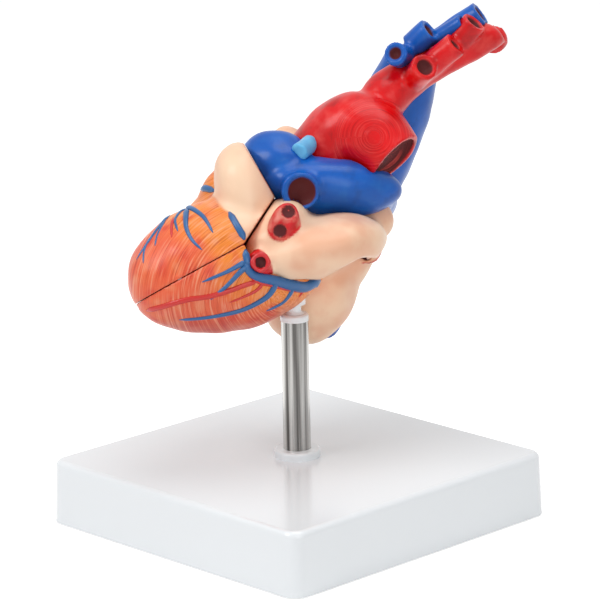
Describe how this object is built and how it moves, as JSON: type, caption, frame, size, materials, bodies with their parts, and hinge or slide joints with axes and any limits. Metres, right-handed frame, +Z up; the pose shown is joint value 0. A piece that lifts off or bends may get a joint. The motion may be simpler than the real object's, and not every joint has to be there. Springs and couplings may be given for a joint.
{
  "type": "human heart anatomy model",
  "caption": "Life-size teaching model of the human heart with its great vessels, tilted on a steel post over a square base; the front wall lifts off.",
  "frame": {"origin": "middle of the square base's underside, on the table and on the post's axis", "axes": "+Z up along the post; X and Y along the base's sides; the apex of the heart points to -X -Y and its vessels to +X +Y"},
  "size_m": [0.13, 0.1525, 0.184],
  "materials": {
    "stand_plastic": "glossy moulded white",
    "post_steel": "brushed stainless tube",
    "zinc": "zinc plated",
    "foot_rubber": "soft black rubber",
    "spigot_plastic": "turned white nylon",
    "bush_brass": "turned brass",
    "muscle_front": "hand-painted PVC, salmon red",
    "muscle_rear": "hand-painted PVC, orange red",
    "atrium_flesh": "painted PVC, flesh",
    "artery_red": "painted PVC, red",
    "vein_blue": "painted PVC, blue",
    "lung_vein_red": "painted PVC, dark red",
    "ligament_blue": "painted PVC, pale blue",
    "leaflet_cream": "painted PVC, cream",
    "inner_muscle": "painted PVC, dark red",
    "magnet_nickel": "nickel plated",
    "pin_steel": "ground steel"
  },
  "bodies": {
    "stand": {"base_plate": "stand_plastic", "base_feet": "foot_rubber", "base_collar": "stand_plastic", "post_tube": "post_steel", "tie_rod": "zinc", "clamp_washer": "zinc", "clamp_nut": "zinc", "post_cap": "stand_plastic"},
    "spigot": {"spigot_pin": "spigot_plastic"},
    "heart": {"rear_ventricle_wall": "muscle_rear", "left_atrium": "atrium_flesh", "right_atrium": "atrium_flesh", "right_auricle": "atrium_flesh", "socket_bush": "bush_brass", "aorta": "artery_red", "brachiocephalic_artery": "artery_red", "right_carotid_artery": "artery_red", "left_subclavian_artery": "artery_red", "left_carotid_artery": "artery_red", "superior_vena_cava": "vein_blue", "left_brachiocephalic_vein": "vein_blue", "left_jugular_vein": "vein_blue", "right_brachiocephalic_vein": "vein_blue", "right_jugular_vein": "vein_blue", "inferior_vena_cava": "vein_blue", "left_upper_pulmonary_veins": "lung_vein_red", "left_lower_pulmonary_vein": "lung_vein_red", "right_upper_pulmonary_vein": "lung_vein_red", "right_lower_pulmonary_vein": "lung_vein_red", "pulmonary_trunk": "vein_blue", "right_pulmonary_artery": "vein_blue", "left_pulmonary_artery": "vein_blue", "ligamentum_arteriosum": "ligament_blue", "mitral_valve": "leaflet_cream", "tricuspid_valve": "leaflet_cream", "aortic_valve": "leaflet_cream", "pulmonary_valve": "leaflet_cream", "papillary_muscles": "inner_muscle", "chordae_tendineae": "leaflet_cream", "rear_magnets": "magnet_nickel", "locating_pins": "pin_steel"},
    "front_wall": {"front_ventricle_wall": "muscle_front", "left_auricle": "atrium_flesh", "front_magnets": "magnet_nickel"}
  },
  "joints": [
    {"name": "heart_turn", "type": "hinge", "parent": "stand", "child": "spigot", "pos_m": [0, 0, 0.0816], "axis": [0, 0, 1], "continuous": true},
    {"name": "heart_lift", "type": "slide", "parent": "spigot", "child": "heart", "axis": [0, 0, 1], "range_m": [0, 0.04]},
    {"name": "front_wall_lift", "type": "slide", "parent": "heart", "child": "front_wall", "axis": [-0.5805, -0.3108, 0.7527], "range_m": [0, 0.06]}
  ]
}
